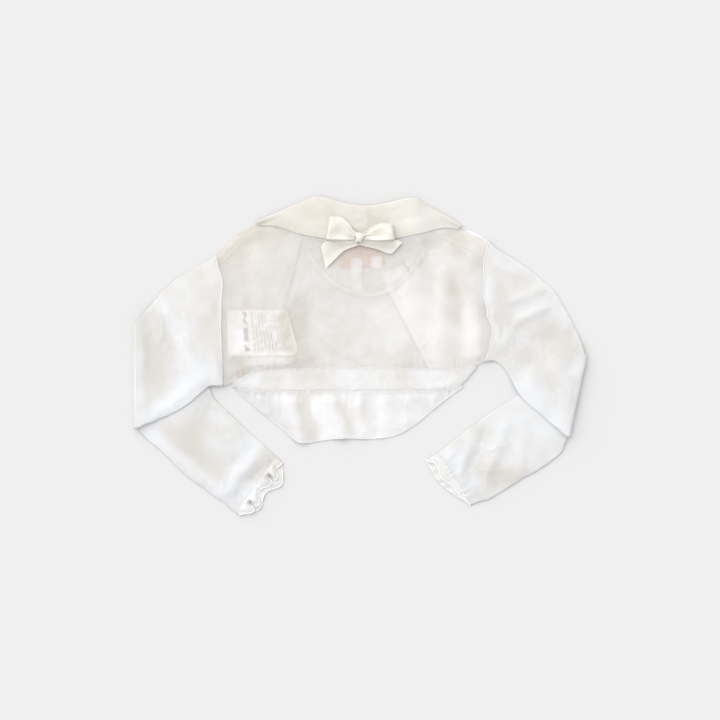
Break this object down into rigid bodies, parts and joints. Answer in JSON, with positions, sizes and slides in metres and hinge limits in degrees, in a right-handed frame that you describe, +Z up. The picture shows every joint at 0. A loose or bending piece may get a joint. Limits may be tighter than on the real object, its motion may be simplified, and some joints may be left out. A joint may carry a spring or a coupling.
{
  "type": "toddler's knitted shrug",
  "caption": "Cropped, long-sleeved shrug of sheer fine knit, laid flat with its back up: folded collar, ribbon bow, gathered waist and hem band, frilled cuffs.",
  "frame": {"origin": "middle of the laid garment's bounding box, on the surface that it lies on", "axes": "+X across the garment, towards the wearer's right because the back faces up; +Y from the hem towards the collar; +Z up from the surface"},
  "size_m": [0.4338, 0.3046, 0.0134],
  "materials": {
    "knit_back": "sheer fine cotton knit, off-white",
    "knit_front": "sheer fine cotton knit, off-white",
    "knit_casing": "fine cotton knit over elastic, off-white, gathered",
    "knit_hem": "fine cotton knit, white, gathered",
    "knit_sleeve": "sheer fine cotton knit, off-white",
    "knit_frill": "fine cotton knit with an overlocked lettuce edge, white",
    "collar_knit": "doubled fine knit, cream",
    "satin_ribbon": "satin ribbon, cream",
    "neck_tape": "stitched seam tape, off-white",
    "neck_label": "woven label, tan, bare",
    "label_white": "smooth label ribbon, white, bare"
  },
  "bodies": {
    "root": {"back_panel": "knit_back", "front_left": "knit_front", "front_right": "knit_front", "waist_casing": "knit_casing", "hem_band": "knit_hem", "sleeve_left": "knit_sleeve", "sleeve_right": "knit_sleeve", "cuff_frill_left": "knit_frill", "cuff_frill_right": "knit_frill", "collar": "collar_knit", "bow_loop_left": "satin_ribbon", "bow_loop_right": "satin_ribbon", "bow_tail_left": "satin_ribbon", "bow_tail_right": "satin_ribbon", "bow_knot": "satin_ribbon", "neck_tape": "neck_tape", "neck_label": "neck_label", "size_tab": "label_white", "fibre_tab": "label_white", "care_label": "label_white", "care_leaf": "label_white"}
  },
  "joints": []
}
